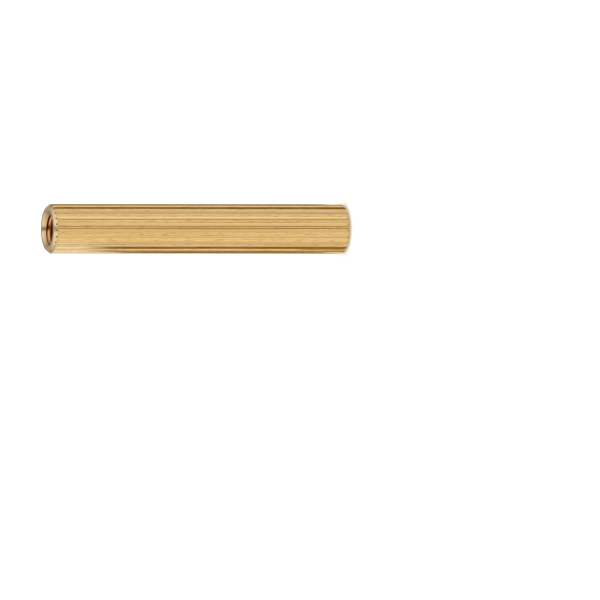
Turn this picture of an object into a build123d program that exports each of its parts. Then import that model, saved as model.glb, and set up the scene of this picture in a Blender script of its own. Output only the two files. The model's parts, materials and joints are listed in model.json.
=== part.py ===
from build123d import *
import os
from math import pi, radians, sin, tan

# Round female standoff: one piece of brass bar, turned, drilled through, tapped at both ends
# and straight-knurled along its whole length.
# It stands on one end. The origin is the centre of that end face and +Z runs up the bore.
# Lengths are in millimetres and angles in degrees.

# Body
body_length = 30.0  # face to face, which is the gap that the standoff holds
body_diameter = 4.8  # over the crests of the knurl
end_chamfer = 0.28  # 45 degree chamfer on the outer edge of both ends

# Straight knurl, grooves parallel to the axis
knurl_pitch = 0.63  # wanted distance from crest to crest around the body
groove_depth = 0.15  # from the crests to the rounded root
groove_angle = 76.0  # included angle between the two flanks
groove_root_radius = 0.03

# Tapped bore, M3 x 0.5
thread_diameter = 3.0
thread_pitch = 0.5
countersink_relief = 0.55  # how much wider than the thread the countersink opens
countersink_angle = 90.0  # included angle

# Sizes that follow from the ones above
body_radius = body_diameter / 2
bore_radius = (thread_diameter - thread_pitch) / 2  # tap drill, which leaves the thread's crests
countersink_radius = (thread_diameter + countersink_relief) / 2
countersink_depth = (countersink_radius - bore_radius) / tan(radians(countersink_angle / 2))
groove_count = round(pi * body_diameter / knurl_pitch)


def turned_blank():
    """The smooth body: half of its section, revolved about the bore's axis."""
    face_radius = body_radius - end_chamfer
    section = Polyline(
        (countersink_radius, 0, 0),
        (face_radius, 0, 0),
        (body_radius, 0, end_chamfer),
        (body_radius, 0, body_length - end_chamfer),
        (face_radius, 0, body_length),
        (countersink_radius, 0, body_length),
        (bore_radius, 0, body_length - countersink_depth),
        (bore_radius, 0, countersink_depth),
        close=True,
    )
    return revolve(make_face(section), Axis.Z)


def knurl_groove():
    """The V-shaped bar of metal that one groove takes away, on the +X side of the body."""
    half_angle = radians(groove_angle / 2)
    root = body_radius - groove_depth
    sharp_root = root - groove_root_radius * (1 / sin(half_angle) - 1)
    outer = body_radius + groove_depth
    half_width = (outer - sharp_root) * tan(half_angle)
    outline = make_face(
        Polyline((sharp_root, 0), (outer, half_width), (outer, -half_width), close=True)
    )
    outline = fillet(outline.vertices().sort_by(Axis.X)[0], groove_root_radius)
    return extrude(outline, body_length)


def standoff_body():
    """The blank less its ring of grooves, with a crest on +X and the grooves either side of it."""
    ring = PolarLocations(0, groove_count, start_angle=180 / groove_count)
    return turned_blank() - [place * knurl_groove() for place in ring]


body = standoff_body()
print("grooves", groove_count, "volume mm3", round(body.volume, 1), "size", body.bounding_box().size)

os.makedirs("parts", exist_ok=True)
export_step(body, "parts/standoff_body.step")
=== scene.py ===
import json
from math import ceil, cos, floor, hypot, pi, radians, sin, tan, tau

import bmesh
import bpy
from mathutils import Matrix, Vector, noise


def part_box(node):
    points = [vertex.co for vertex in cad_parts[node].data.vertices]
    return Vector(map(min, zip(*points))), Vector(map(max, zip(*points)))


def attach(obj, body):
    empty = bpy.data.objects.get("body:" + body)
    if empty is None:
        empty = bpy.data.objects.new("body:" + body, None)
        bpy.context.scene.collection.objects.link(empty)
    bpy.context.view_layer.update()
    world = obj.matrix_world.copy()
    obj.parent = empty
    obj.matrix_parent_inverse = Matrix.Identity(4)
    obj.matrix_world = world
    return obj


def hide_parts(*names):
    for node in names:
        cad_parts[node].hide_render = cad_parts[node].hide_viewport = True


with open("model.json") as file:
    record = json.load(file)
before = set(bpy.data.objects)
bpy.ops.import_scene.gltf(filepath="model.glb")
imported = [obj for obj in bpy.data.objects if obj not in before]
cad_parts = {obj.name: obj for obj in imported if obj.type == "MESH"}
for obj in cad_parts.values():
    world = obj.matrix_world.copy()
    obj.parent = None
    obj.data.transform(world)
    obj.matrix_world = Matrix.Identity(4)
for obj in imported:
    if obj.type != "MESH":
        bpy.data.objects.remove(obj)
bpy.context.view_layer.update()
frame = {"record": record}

# The frame's sizes, in millimetres. Blender works in metres, so what goes into it is multiplied by mm
mm = 0.001
low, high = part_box("standoff_body")
mounts = {mount["name"]: mount for mount in frame["record"]["mounts"]}
bodyLength = (high.z - low.z) / mm
crestRadius = (high.y - low.y) / 2 / mm
boreRadius = mounts["upper_thread"]["dims"]["r_mm"]
print(f"frame: {bodyLength:.1f} mm long, {2 * crestRadius:.2f} mm across, {2 * boreRadius:.2f} mm bore")


def linear(hexColour):
    # a colour as it is seen on a screen, to the light values that Blender works in
    parts = [int(hexColour[i:i + 2], 16) / 255 for i in (1, 3, 5)]
    return [p / 12.92 if p <= 0.04045 else ((p + 0.055) / 1.055) ** 2.4 for p in parts] + [1]


def addNode(material, kind, inputs=(), **settings):
    # inputs is {socket name or number: a value, or the output that feeds it}
    made = material.node_tree.nodes.new(kind)
    for name, value in settings.items():
        setattr(made, name, value)
    for name, value in dict(inputs).items():
        if isinstance(value, bpy.types.NodeSocket):
            material.node_tree.links.new(value, made.inputs[name])
        else:
            made.inputs[name].default_value = value
    return made


def emptyMaterial(name):
    material = bpy.data.materials.new(name)
    material.use_nodes = True
    material.node_tree.nodes.clear()
    return material


def between(value, start, end):
    # 0 up to the start, 1 from the end on
    return min(max((value - start) / (end - start), 0), 1)


# Lengths in millimetres, angles and directions in degrees, directions from +X towards +Y
standoff = {
    "endChamfer": 0.28,  # 45 degrees, on both ends
    "edgeBreak": 0.015,  # what tumbling takes off the turned edges
    "knurlPitch": 0.63,  # wanted distance from crest to crest
    "grooveDepth": 0.15,
    "grooveAngle": 76,  # between the flanks
    "grooveRoot": 0.01,  # how soft the bottom of a groove is
    "crestRounding": 0.008,  # how far the edges of the crests are rounded over
    "depthWander": 0.12,  # how much one groove's depth differs from the next, as a share
    "lineWander": 0.02,  # how far a groove strays sideways over the length
    "wanderLength": 9.0,  # over which both change
    # the noise behind each: step from groove to groove, pace along the part, seed
    "depthNoise": (5.3, 0.5, 5144.35),
    "lineNoise": (3.7, 1.0, 11.0),
    # how far up its flanks the painted shade and painted dark reflection in each groove reach, as a share,
    # in turn from +X
    "shadeInGrooves": (
        0.0, 0.0, 0.15, 1.0, 0.9, 0.5, 0.3, 0.6, 0.4, 0.9, 0.5, 0.2,
        0.6, 0.4, 0.8, 0.3, 0.5, 0.7, 0.6, 0.95, 1.0, 0.0, 0.0, 0.0,
    ),
    "shadeEdge": 0.015,  # depth over which the painted shade comes to its end
    "runOutShade": (0.3, 0.8),  # more painted shade in the notches where the grooves run out, at the lower and the upper end
    "runOutDepths": (0.01, 0.08),  # depths under the crests, from none to all of that
    "paleReflectionHeights": (24.0, 27.0),  # from none to all of the painted darkening taken off the -Y side: a painted pale reflection
    "paleReflectionSide": (0.2, 0.8),  # the same, going round to that side, as shares of the radius
    # painted dark reflection lines along the part, some laid over flank highlights to dull them:
    # direction, half width, darkness, heights from and to
    "darkReflectionLines": (
        (-2.5, 0.036, 1.0, 0, 30), (2.5, 0.036, 0.9, 0, 30), (56.7, 0.085, 1.0, 0, 30),
        (-48.1, 0.05, 0.1, 0, 30), (-55.2, 0.06, 0.95, 0, 30), (39.4, 0.05, 0.5, 0, 30),
        (11.7, 0.06, 0.2, 0, 30), (-9.2, 0.04, 0.25, 0, 30), (-24.3, 0.035, 0.35, 0, 30),
        (-39.2, 0.05, 0.45, 0, 30), (-41.9, 0.05, 0.3, 0, 30), (18.9, 0.035, 0.8, 0, 30),
        (-83.9, 0.15, 0.45, 0, 30), (72.5, 0.1, 0.8, 3, 8), (74, 0.12, 0.4, 0, 30),
        (83, 0.12, 0.5, 0, 18), (-58.5, 0.06, 0.9, 0, 5), (-68, 0.06, 0.6, 3, 16),
        (97, 0.06, 0.5, 0, 30), (131, 0.05, 0.7, 0, 30), (158, 0.06, 0.35, 6, 30),
        (202, 0.06, 0.8, 0, 30), (229, 0.05, 0.4, 0, 21), (262, 0.06, 0.6, 0, 30),
    ),
    "lineFade": 0.5,  # a painted dark line begins and ends within this much of its heights
    "lineEdge": (1.5, 0.5),  # and across it from none to all dark, in half widths
    "threadDiameter": 3.08,  # the tap cuts a little wide
    "threadPitch": 0.5,
    "threadAngle": 60,
    "threadDepth": 10.0,  # full thread, from each end
    "threadCrest": 0.135,  # flat on the crests
    "threadSoftness": 0.02,  # of the thread's edges, as a share of the pitch
    "threadStart": 0.17,  # how far round the thread begins, in turns
    "countersink": 3.55,  # across its mouth, 90 degrees
    "coneShade": (0.05, 0.45),  # depths from none to all of the painted shade in the countersink
    "pitchSteps": 12,  # points from the middle of a groove to the middle of a crest
    "crowding": 1.5,  # how much closer these lie towards the groove
    "rowsAlong": 60,
    "rowsFrom": 1.6,  # where the even rows begin, in chamfers from the end
    "outsidePerBore": 6,  # points on the outside for one in the bore, must divide 2 * pitchSteps
    "sharpFrom": 20,  # edges that bend more than this many degrees are not smoothed
}
grooveCount = round(tau * crestRadius / standoff["knurlPitch"])
knurled, turned, tapped = range(3)  # the material slots


def onePitch():
    # one groove and the crest after it, as (angle from the groove's middle, depth under the crests):
    # a V with a soft root, whose edges round over into the crests
    s = standoff
    half = pi / grooveCount
    slope = 1 / tan(radians(s["grooveAngle"] / 2))

    def under(angle):
        away = hypot(angle * crestRadius, s["grooveRoot"]) - s["grooveRoot"]
        line = s["grooveDepth"] - slope * away
        return (line + hypot(line, s["crestRounding"])) / 2

    points = []
    for step in range(-s["pitchSteps"], s["pitchSteps"]):
        share = (abs(step) / s["pitchSteps"]) ** s["crowding"] * (1 if step > 0 else -1)
        points.append((share * half, under(share * half) - under(half)))
    middle = s["pitchSteps"]
    return points[middle:] + [(angle + 2 * half, depth) for angle, depth in points[:middle]]


pitchPoints = onePitch()
around = grooveCount * len(pitchPoints)
boreSides = around // standoff["outsidePerBore"]


def paintedDarkeningAt(angle, height, under, groove):
    # how dark the painted shade and painted dark reflections make the surface at one point, from 0 to 1
    s = standoff
    clean = (1 - s["shadeInGrooves"][groove % len(s["shadeInGrooves"])]) * s["grooveDepth"]
    dark = between(under, clean, clean + s["shadeEdge"])
    fade = s["lineFade"]
    none, full = s["lineEdge"]
    for direction, halfWidth, darkness, start, end in s["darkReflectionLines"]:
        away = abs((angle - radians(direction) + pi) % tau - pi) * crestRadius
        reach = between(height, start - fade, start + fade) * between(height, end + fade, end - fade)
        dark = max(dark, darkness * reach * between(away, none * halfWidth, full * halfWidth))
    # a painted pale reflection: less of the painted darkening near the top on the -Y side
    paleReflection = between(height, *s["paleReflectionHeights"]) * between(-sin(angle), *s["paleReflectionSide"])
    return dark * (1 - paleReflection)


def wander(name, height):
    # one value of the noise for each groove, at this height
    step, pace, seed = standoff[name]
    along = height / standoff["wanderLength"] * pace
    return [noise.noise((groove * step, along, seed)) for groove in range(grooveCount)]


def outsidePoints(height):
    # the knurled section at one height, as (angle, radius, painted darkening)
    s = standoff
    strays = [s["lineWander"] * value / crestRadius for value in wander("lineNoise", height)]
    # lowered by a half, so that few grooves come out deeper than grooveDepth
    depths = [1 + s["depthWander"] * (value - 0.5) for value in wander("depthNoise", height)]
    points = []
    for groove in range(grooveCount):
        after = (groove + 1) % grooveCount
        for angle, under in pitchPoints:
            share = angle * grooveCount / tau  # how far on the way to the next groove
            depth = under * (depths[groove] * (1 - share) + depths[after] * share)
            stray = strays[groove] * (1 - share) + strays[after] * share
            straight = (groove + 0.5) * tau / grooveCount + angle
            darkening = paintedDarkeningAt(straight, height, under, groove if share < 0.5 else after)
            points.append((straight + stray, crestRadius - depth, darkening))
    return points


def threadFlank():
    # how deep the thread is and how wide one of its flanks
    depth = standoff["threadDiameter"] / 2 - boreRadius
    return depth, depth * tan(radians(standoff["threadAngle"] / 2))


def threadRadius(height, angle):
    # the bore's wall with its right-hand thread, the run-out at full depth and the countersinks
    s = standoff
    pitch = s["threadPitch"]
    inside = min(height, bodyLength - height)
    phase = (height / pitch - angle / tau - s["threadStart"]) % 1.0
    fromMiddle = abs(phase - 0.5) * pitch
    depth, flank = threadFlank()
    rootHalf = (pitch - s["threadCrest"]) / 2 - flank
    cut = between(fromMiddle, rootHalf + flank, rootHalf) * depth
    runOut = between(inside, s["threadDepth"] + pitch, s["threadDepth"] - pitch)
    return max(boreRadius + cut * runOut, s["countersink"] / 2 - inside)


def threadRows():
    # where the points of one turn lie, as shares of the pitch: on both sides of the thread's edges,
    # and for the turns at the mouths halfway between as well
    s = standoff
    soft = s["threadSoftness"]
    crestEdge = s["threadCrest"] / 2 / s["threadPitch"]
    rootEdge = crestEdge + threadFlank()[1] / s["threadPitch"]
    edges = [crestEdge - soft, crestEdge + soft, rootEdge - soft, rootEdge + soft]
    coarse = sorted([0.0] + edges + [1 - edge for edge in edges])
    fine = sorted(coarse + [(a + b) / 2 for a, b in zip(coarse, coarse[1:] + [1.0])])
    return coarse, fine


def addPoints(parts, points):
    # points are (angle, radius, height, painted darkening), and their numbers in the mesh come back
    first = len(parts["verts"])
    for angle, radius, height, darkening in points:
        parts["verts"].append((radius * cos(angle) * mm, radius * sin(angle) * mm, height * mm))
        parts["paintedDarkening"].append(darkening)
    return list(range(first, len(parts["verts"])))


def bridge(parts, lower, upper, slot):
    for side in range(len(lower)):
        after = (side + 1) % len(lower)
        parts["faces"].append((lower[side], lower[after], upper[after], upper[side]))
        parts["slots"].append(slot)


def endRings(parts, atTop):
    # from the end face outwards: both sides of its edge, then both sides of the chamfer's notched edge
    s = standoff
    edge = s["edgeBreak"]
    slanted = 0.7 * edge  # the same length down a slope of 45 degrees
    faceRadius = crestRadius - s["endChamfer"]
    section = outsidePoints(bodyLength if atTop else 0)

    def place(inside):
        return bodyLength - inside if atTop else inside

    # painted shade in the notches where the grooves run out
    def runOutShade(radius):
        return s["runOutShade"][atTop] * between(crestRadius - radius, *s["runOutDepths"])

    rings = [
        [(a, faceRadius - edge, place(0), 0) for a, r, darkening in section],
        [(a, faceRadius + slanted, place(slanted), 0) for a, r, darkening in section],
        [(a, r - slanted, place(r - faceRadius - slanted), 0) for a, r, darkening in section],
        [(a, r, place(r - faceRadius + edge), max(darkening, runOutShade(r))) for a, r, darkening in section],
    ]
    return [addPoints(parts, ring) for ring in rings]


def buildOutside(parts):
    # up from the bottom face, over the chamfer, the knurl and the other chamfer
    s = standoff
    bottom, top = endRings(parts, False), endRings(parts, True)
    for lower, upper in zip(bottom, bottom[1:]):
        bridge(parts, lower, upper, turned)
    last = bottom[-1]
    start = s["endChamfer"] * s["rowsFrom"]
    for row in range(s["rowsAlong"] + 1):
        height = start + (bodyLength - 2 * start) * row / s["rowsAlong"]
        this = addPoints(parts, [(a, r, height, darkening) for a, r, darkening in outsidePoints(height)])
        bridge(parts, last, this, knurled)
        last = this
    bridge(parts, last, top[-1], knurled)
    for lower, upper in zip(top[:0:-1], top[-2::-1]):
        bridge(parts, lower, upper, turned)
    return bottom[0], top[0]


def buildBore(parts):
    # a grid that climbs with the thread, cut off square at each end of a stretch
    s = standoff
    pitch = s["threadPitch"]
    known, conePoints = {}, set()

    def wallPoint(side, height):
        key = (side % boreSides, round(height, 6))
        if key not in known:
            angle = tau * key[0] / boreSides
            radius = threadRadius(key[1], angle)
            inside = min(key[1], bodyLength - key[1])
            onCone = radius < s["countersink"] / 2 - inside + 1e-6
            inThread = between(radius, boreRadius, s["threadDiameter"] / 2)
            # painted shade: darker deeper in the countersink and deeper in the thread's grooves
            darkening = between(inside, *s["coneShade"]) if onCone else inThread
            known[key] = addPoints(parts, [(angle, radius, key[1], darkening)])[0]
            if onCone:
                conePoints.add(known[key])
        return known[key]

    def wall(fromHeight, toHeight, rows):
        firstTurn = floor(fromHeight / pitch) - 1
        turns = ceil((toHeight - fromHeight) / pitch) + 2
        heights = [(firstTurn + turn + row) * pitch for turn in range(turns) for row in rows]
        for under, over in zip(heights, heights[1:]):
            for side in range(boreSides):
                lift = pitch * side / boreSides
                more = pitch * (side + 1) / boreSides
                corners = [(side, under + lift), (side + 1, under + more)]
                corners += [(side + 1, over + more), (side, over + lift)]
                loop = []
                for corner, height in corners:
                    point = wallPoint(corner, min(max(height, fromHeight), toHeight))
                    if point not in loop:
                        loop.append(point)
                if len(loop) > 2:
                    parts["faces"].append(tuple(reversed(loop)))
                    parts["slots"].append(turned if conePoints.issuperset(loop) else tapped)

    coarse, fine = threadRows()
    mouth = 2 * pitch
    deep = s["threadDepth"] + 2 * pitch
    wall(0, mouth, fine)
    wall(mouth, deep, coarse)
    wall(deep, bodyLength - deep, [0.0])
    wall(bodyLength - deep, bodyLength - mouth, coarse)
    wall(bodyLength - mouth, bodyLength, fine)
    return [[wallPoint(side, height) for side in range(boreSides)] for height in (0, bodyLength)]


def buildEndFace(parts, outer, inner, atTop):
    # the flat ring from the countersink's mouth to the chamfer
    step = standoff["outsidePerBore"]
    for side in range(boreSides):
        face = [outer[(side * step + k) % around] for k in range(step + 1)]
        face += [inner[(side + 1) % boreSides], inner[side]]
        parts["faces"].append(tuple(face if atTop else reversed(face)))
        parts["slots"].append(turned)


def buildStandoff():
    parts = {"verts": [], "faces": [], "slots": [], "paintedDarkening": []}
    bottom, top = buildOutside(parts)
    lowerMouth, upperMouth = buildBore(parts)
    buildEndFace(parts, bottom, lowerMouth, False)
    buildEndFace(parts, top, upperMouth, True)
    mesh = bpy.data.meshes.new("standoff_brass")
    mesh.from_pydata(parts["verts"], [], parts["faces"])
    mesh.polygons.foreach_set("material_index", parts["slots"])
    work = bmesh.new()
    work.from_mesh(mesh)
    bmesh.ops.recalc_face_normals(work, faces=work.faces)
    for edge in work.edges:
        edge.smooth = edge.calc_face_angle(pi) < radians(standoff["sharpFrom"])
    for face in work.faces:
        face.smooth = True
    openEdges = sum(len(edge.link_faces) != 2 for edge in work.edges)
    work.to_mesh(mesh)
    work.free()
    mesh.attributes.new("paintedDarkening", "FLOAT", "POINT").data.foreach_set("value", parts["paintedDarkening"])
    print(f"standoff: {grooveCount} grooves, {len(mesh.polygons)} faces, {openEdges} open edges")
    piece = bpy.data.objects.new("standoff_brass", mesh)
    bpy.context.scene.collection.objects.link(piece)
    return piece


brass = {
    "colour": "#E9C78C",
    # width across the part in mm, length over width, detail. The scratches of a real die are a few
    # hundredths of a millimetre wide, and these are drawn coarser so that they show
    "marks": {
        "broad": (0.13, 250, 2),
        "fine": (0.075, 200, 2),
        "flecks": (0.05, 16, 2),
        "patches": (0.25, 6, 2),
    },
    # what changes the colour, from and to which value, how much at most, the colour
    "layers": (
        ("fine", 0.42, 0.62, 1, "#D3A866"),
        ("broad", 0.55, 0.63, 0.25, "#B08C4C"),
        ("patches", 0.42, 0.66, 0.5, "#E6BA86"),
        ("flecks", 0.55, 0.72, 0.82, "#9C783C"),
        ("flecks", 0.4, 0.28, 0.35, "#FBE6BC"),
        ("depth", 0.005, 0.03, 1, "#F0D9A8"),  # burnished by the knurling wheel
        ("paintedDarkening", 0, 1, 1, "#7E560C"),  # painted shade in the grooves and notches, and painted dark reflection lines
    ),
    "darkeningThins": 0.08,  # by how much the painted darkening thins, where there are no patches
    "patchRange": (0.4, 0.6),  # of their noise, from no patch to a full one
    "roughness": 0.13,
    "roughWander": 0.055,
    "lineRange": (0.8, 1.2),  # of the broad and the fine lines added up, from rough to smooth
    "relief": 0.15,
    "reliefDepth": 0.02,  # in mm
    "flankFrom": (0.005, 0.03),  # depths in mm between which the flanks begin
    "flankRoughness": 0.07,
    "flankRelief": 0.03,
    # colour, colour of the painted shade, roughness. Freshly cut, so paler
    "turned": ("#DFC494", "#C4905C", 0.2),
    "tapped": ("#E8B482", "#A8702A", 0.2),
    "toolMarks": (0.06, 0.3, 0.01),  # width in mm, strength, depth in mm
}


def knurledBrass():
    # drawn bar, whose fine lines break the reflections into long streaks, with a roll-formed knurl. The
    # wheel has burnished the flanks, so they are smoother and paler, and painted shade darkens the grooves
    material = emptyMaterial("freeCuttingBrassDrawnAndKnurled")
    b = brass
    place = addNode(material, "ShaderNodeTexCoord").outputs["Object"]
    paintedDarkening = addNode(material, "ShaderNodeAttribute", attribute_name="paintedDarkening").outputs["Fac"]
    # depth under the crests, in mm
    flat = addNode(material, "ShaderNodeMapping", {"Vector": place, "Scale": (1, 1, 0)}).outputs[0]
    radius = addNode(material, "ShaderNodeVectorMath", {0: flat}, operation="LENGTH").outputs["Value"]
    inputs = {"Value": radius, "From Min": crestRadius * mm, "From Max": (crestRadius - 1) * mm}
    depth = addNode(material, "ShaderNodeMapRange", inputs).outputs[0]
    # noise drawn out along the part
    marks = {"depth": depth}
    for name, (width, stretch, detail) in b["marks"].items():
        inputs = {"Vector": place, "Scale": (1, 1, 1 / stretch)}
        drawn = addNode(material, "ShaderNodeMapping", inputs).outputs[0]
        inputs = {"Vector": drawn, "Scale": 1 / (width * mm), "Detail": detail}
        marks[name] = addNode(material, "ShaderNodeTexNoise", inputs).outputs["Fac"]
    start, end = b["patchRange"]
    inputs = {"Value": marks["patches"], "From Min": start, "From Max": end, "To Min": 1 - b["darkeningThins"]}
    kept = addNode(material, "ShaderNodeMapRange", inputs).outputs[0]
    inputs = {0: paintedDarkening, 1: kept}
    marks["paintedDarkening"] = addNode(material, "ShaderNodeMath", inputs, operation="MULTIPLY").outputs[0]
    # one layer of colour over the other
    colour = linear(b["colour"])
    for name, start, end, most, hexColour in b["layers"]:
        inputs = {"Value": marks[name], "From Min": start, "From Max": end, "To Max": most}
        share = addNode(material, "ShaderNodeMapRange", inputs).outputs[0]
        inputs = {0: share, 6: colour, 7: linear(hexColour)}
        colour = addNode(material, "ShaderNodeMix", inputs, data_type="RGBA").outputs[2]
    # the lines are rougher than the metal between them, and the flanks are smooth
    inputs = {0: marks["broad"], 1: marks["fine"]}
    lines = addNode(material, "ShaderNodeMath", inputs, operation="ADD").outputs[0]
    start, end = b["lineRange"]
    inputs = {"Value": lines, "From Min": start, "From Max": end}
    inputs |= {"To Min": b["roughness"] + b["roughWander"], "To Max": b["roughness"] - b["roughWander"]}
    lineRough = addNode(material, "ShaderNodeMapRange", inputs).outputs[0]
    start, end = b["flankFrom"]
    inputs = {"Value": depth, "From Min": start, "From Max": end}
    onFlank = addNode(material, "ShaderNodeMapRange", inputs).outputs[0]
    inputs = {0: onFlank, 2: lineRough, 3: b["flankRoughness"]}
    rough = addNode(material, "ShaderNodeMix", inputs).outputs[0]
    inputs = {0: onFlank, 2: b["relief"], 3: b["flankRelief"]}
    relief = addNode(material, "ShaderNodeMix", inputs).outputs[0]
    inputs = {"Height": lines, "Strength": relief, "Distance": b["reliefDepth"] * mm}
    bump = addNode(material, "ShaderNodeBump", inputs).outputs[0]
    inputs = {"Base Color": colour, "Metallic": 1, "Roughness": rough, "Normal": bump}
    shader = addNode(material, "ShaderNodeBsdfPrincipled", inputs)
    addNode(material, "ShaderNodeOutputMaterial", {"Surface": shader.outputs[0]})
    return material


def cutBrass(name, hexColour, shadeColour, roughness):
    # bright metal from a lathe tool or a tap: faint rings around the axis, drawn coarser than real
    # ones so that they show, and a darker, redder painted shade deeper in the countersink and the thread
    material = emptyMaterial(name)
    width, strength, depth = brass["toolMarks"]
    place = addNode(material, "ShaderNodeTexCoord").outputs["Object"]
    flat = addNode(material, "ShaderNodeMapping", {"Vector": place, "Scale": (1, 1, 0)}).outputs[0]
    radius = addNode(material, "ShaderNodeVectorMath", {0: flat}, operation="LENGTH").outputs["Value"]
    inputs = {"W": radius, "Scale": 1 / (width * mm), "Detail": 2}
    rings = addNode(material, "ShaderNodeTexNoise", inputs, noise_dimensions="1D").outputs["Fac"]
    inputs = {"Height": rings, "Strength": strength, "Distance": depth * mm}
    bump = addNode(material, "ShaderNodeBump", inputs).outputs[0]
    paintedDarkening = addNode(material, "ShaderNodeAttribute", attribute_name="paintedDarkening").outputs["Fac"]
    inputs = {0: paintedDarkening, 6: linear(hexColour), 7: linear(shadeColour)}
    colour = addNode(material, "ShaderNodeMix", inputs, data_type="RGBA").outputs[2]
    inputs = {"Base Color": colour, "Metallic": 1, "Roughness": roughness, "Normal": bump}
    shader = addNode(material, "ShaderNodeBsdfPrincipled", inputs)
    addNode(material, "ShaderNodeOutputMaterial", {"Surface": shader.outputs[0]})
    return material


piece = buildStandoff()
piece.data.materials.append(knurledBrass())
piece.data.materials.append(cutBrass("freeCuttingBrassTurned", *brass["turned"]))
piece.data.materials.append(cutBrass("freeCuttingBrassTapped", *brass["tapped"]))
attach(piece, "root")
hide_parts("standoff_body")
print("brass on the standoff")

camera = {
    "azimuth": 86.8,
    "elevation": 18.3,  # above the horizon, in degrees
    "lens": 1500,  # from far away, so that the two ends look equally large
    "sensor": 36,
    "viewWidth": 57.7423,  # how much the view takes in at the standoff, in mm
    "offCentre": (-10.0212, 6.8425),  # how far across and up from the view's centre it stands, in mm
}


def addCamera():
    c = camera
    a, e = radians(c["azimuth"]), radians(c["elevation"])
    back = Vector((sin(a) * cos(e), -cos(a) * cos(e), sin(e)))
    # turned a quarter, so that the standoff lies level with its upper end on the left
    up = Vector((cos(a), sin(a), 0))
    across = up.cross(back)
    data = bpy.data.cameras.new("camera")
    data.lens = c["lens"]
    data.sensor_width = c["sensor"]
    data.clip_start, data.clip_end = 0.01, 10
    distance = c["viewWidth"] * mm * c["lens"] / c["sensor"]
    aim = (low + high) / 2 - (across * c["offCentre"][0] + up * c["offCentre"][1]) * mm
    view = bpy.data.objects.new("camera", data)
    bpy.context.scene.collection.objects.link(view)
    turn = Matrix((across, up, back)).transposed().to_4x4()
    view.matrix_world = Matrix.Translation(aim + back * distance) @ turn
    bpy.context.scene.camera = view


addCamera()
print("camera placed")

# Lengths in metres where nothing else is said
studio = {
    "floorSize": 1.2,
    "floorColour": "#FAFAFA",
    "floorInMetal": 0.98,  # how bright the metal shows it
    "floorLift": 0.07,  # keeps the shadow pale
    "skyLow": 0.12,
    "skyHigh": 1.25,
    "skyHorizon": 0.9,  # the pale walls of the room, which the metal shows when it is seen from the side
    "horizonTo": (0.03, 0.16),  # heights in the sky between which the walls end, 1 is straight up
    "overhead": {"height": 0.25, "size": 0.25, "watts": 0.35},
    # wedges of card on the floor that only the metal sees: direction from the camera's side, clockwise
    # from above, and half width, both in degrees, where it starts and ends, colour, strength
    "cards": [
        (52, 24, 0.0028, 0.2, "#FFFCF0", 1.1),
        (110, 13, 0.0028, 0.2, "#FFF8E8", 1.1),
        (146, 21, 0.0028, 0.2, "#8F7A50", 1),
        (-127, 7, 0.0028, 0.2, "#FFF8E8", 1.3),
        (-155, 20, 0.0028, 0.2, "#8F7A50", 1),
        (115, 45, 0.072, 0.2, "#F2F6FF", 1.05),
        # a grey ring round the foot: painted shadow, the contact shadow as the metal shows it
        (0, 180, 0.0015, 0.0028, "#D3DADF", 1),
    ],
    "cardSteps": 16,
    "cardLift": (0.04, 0.01),  # of the first card over the floor and of each one over the last, in mm
    # a dark and a grey slit over the top that only the metal sees: from and to, towards the camera,
    # half width, height, colour
    "slits": [
        (-0.009, 0.0056, 0.003, 0.05, "#181818"),
        (0.0068, 0.0105, 0.003, 0.05, "#8C8C8C"),
    ],
}
towardsCamera = radians(camera["azimuth"] - 90)


def addPiece(name, verts, faces, material):
    mesh = bpy.data.meshes.new(name)
    mesh.from_pydata(verts, [], faces)
    mesh.materials.append(material)
    made = bpy.data.objects.new(name, mesh)
    bpy.context.scene.collection.objects.link(made)
    return made


def glowing(name, hexColour, strength):
    material = emptyMaterial(name)
    glow = addNode(material, "ShaderNodeEmission", {"Color": linear(hexColour), "Strength": strength})
    addNode(material, "ShaderNodeOutputMaterial", {"Surface": glow.outputs[0]})
    return material


def showOnlyInMetal(made):
    made.visible_camera = made.visible_diffuse = made.visible_shadow = made.visible_transmission = False


def addFloor():
    # matt white card: the eye sees the standoff's soft shadow on it, and the metal shows it plain white
    half = studio["floorSize"] / 2
    material = emptyMaterial("whiteCard")
    paper = addNode(material, "ShaderNodeBsdfDiffuse", {"Color": linear(studio["floorColour"])}).outputs[0]
    lift = addNode(material, "ShaderNodeEmission", {"Strength": studio["floorLift"]}).outputs[0]
    lifted = addNode(material, "ShaderNodeAddShader", {0: paper, 1: lift}).outputs[0]
    glow = addNode(material, "ShaderNodeEmission", {"Strength": studio["floorInMetal"]}).outputs[0]
    ray = addNode(material, "ShaderNodeLightPath").outputs
    inputs = {0: ray["Is Glossy Ray"], 1: ray["Is Transmission Ray"]}
    mirrored = addNode(material, "ShaderNodeMath", inputs, operation="MAXIMUM").outputs[0]
    shown = addNode(material, "ShaderNodeMixShader", {0: mirrored, 1: lifted, 2: glow}).outputs[0]
    addNode(material, "ShaderNodeOutputMaterial", {"Surface": shown})
    corners = [(-half, -half, 0), (half, -half, 0), (half, half, 0), (-half, half, 0)]
    addPiece("floor", corners, [(0, 1, 2, 3)], material)


def addCard(number, direction, halfWidth, near, far, hexColour, strength):
    steps = studio["cardSteps"]
    first, each = studio["cardLift"]
    height = (first + each * number) * mm
    turns = [direction + halfWidth * (2 * step / steps - 1) for step in range(steps + 1)]
    angles = [towardsCamera - radians(turn) for turn in turns]
    verts = [(reach * cos(a), reach * sin(a), height) for reach in (near, far) for a in angles]
    faces = [(n, n + steps + 1, n + steps + 2, n + 1) for n in range(steps)]
    card = addPiece(f"card{number}", verts, faces, glowing(f"card{number}", hexColour, strength))
    showOnlyInMetal(card)


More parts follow.
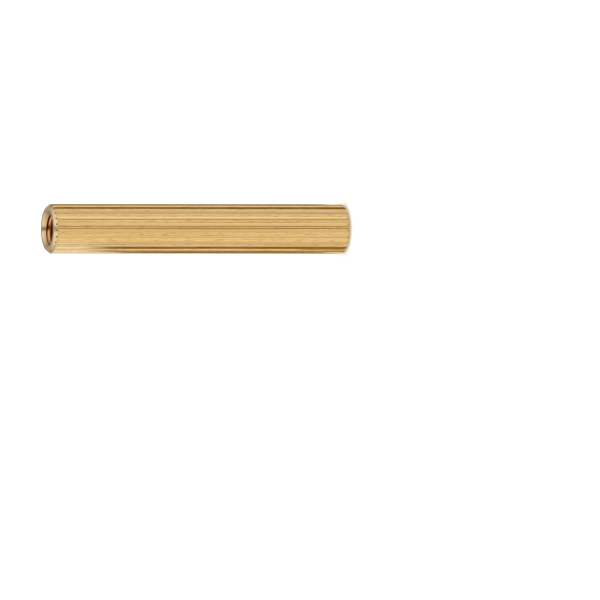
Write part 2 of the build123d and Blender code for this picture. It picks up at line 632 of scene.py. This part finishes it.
def addSlit(number, start, end, half, height, hexColour):
    a = towardsCamera
    corners = [(start, -half), (end, -half), (end, half), (start, half)]
    verts = [(x * cos(a) - y * sin(a), x * sin(a) + y * cos(a), height) for x, y in corners]
    slit = addPiece(f"slit{number}", verts, [(0, 1, 2, 3)], glowing(f"slit{number}", hexColour, 1))
    showOnlyInMetal(slit)


def addSky():
    # the metal shows a room: pale walls, dim above them and bright overhead. The eye sees plain white
    world = bpy.data.worlds.new("sky")
    bpy.context.scene.world = world
    world.use_nodes = True
    world.node_tree.nodes.clear()
    place = addNode(world, "ShaderNodeTexCoord").outputs["Generated"]
    height = addNode(world, "ShaderNodeSeparateXYZ", {0: place}).outputs["Z"]
    inputs = {"Value": height, "To Min": studio["skyLow"], "To Max": studio["skyHigh"]}
    ceiling = addNode(world, "ShaderNodeMapRange", inputs).outputs[0]
    start, end = studio["horizonTo"]
    inputs = {"Value": height, "From Min": start, "From Max": end}
    inputs |= {"To Min": studio["skyHorizon"], "To Max": 0}
    walls = addNode(world, "ShaderNodeMapRange", inputs).outputs[0]
    shade = addNode(world, "ShaderNodeMath", {0: ceiling, 1: walls}, operation="MAXIMUM").outputs[0]
    seen = addNode(world, "ShaderNodeLightPath").outputs["Is Camera Ray"]
    strength = addNode(world, "ShaderNodeMix", {0: seen, 2: shade, 3: 1.0}).outputs[0]
    light = addNode(world, "ShaderNodeBackground", {"Color": (1, 1, 1, 1), "Strength": strength})
    addNode(world, "ShaderNodeOutputWorld", {"Surface": light.outputs[0]})


def addOverhead():
    # a square softbox that shines straight down, and that the metal doesn't show
    o = studio["overhead"]
    data = bpy.data.lights.new("overhead", "AREA")
    data.size = o["size"]
    data.energy = o["watts"]
    lamp = bpy.data.objects.new("overhead", data)
    bpy.context.scene.collection.objects.link(lamp)
    lamp.location = (0, 0, o["height"])
    lamp.visible_camera = lamp.visible_glossy = False


for number, card in enumerate(studio["cards"]):
    addCard(number, *card)
for number, slit in enumerate(studio["slits"]):
    addSlit(number, *slit)
addFloor()
addSky()
addOverhead()
bpy.context.scene.view_settings.view_transform = "Standard"
print("studio lit")
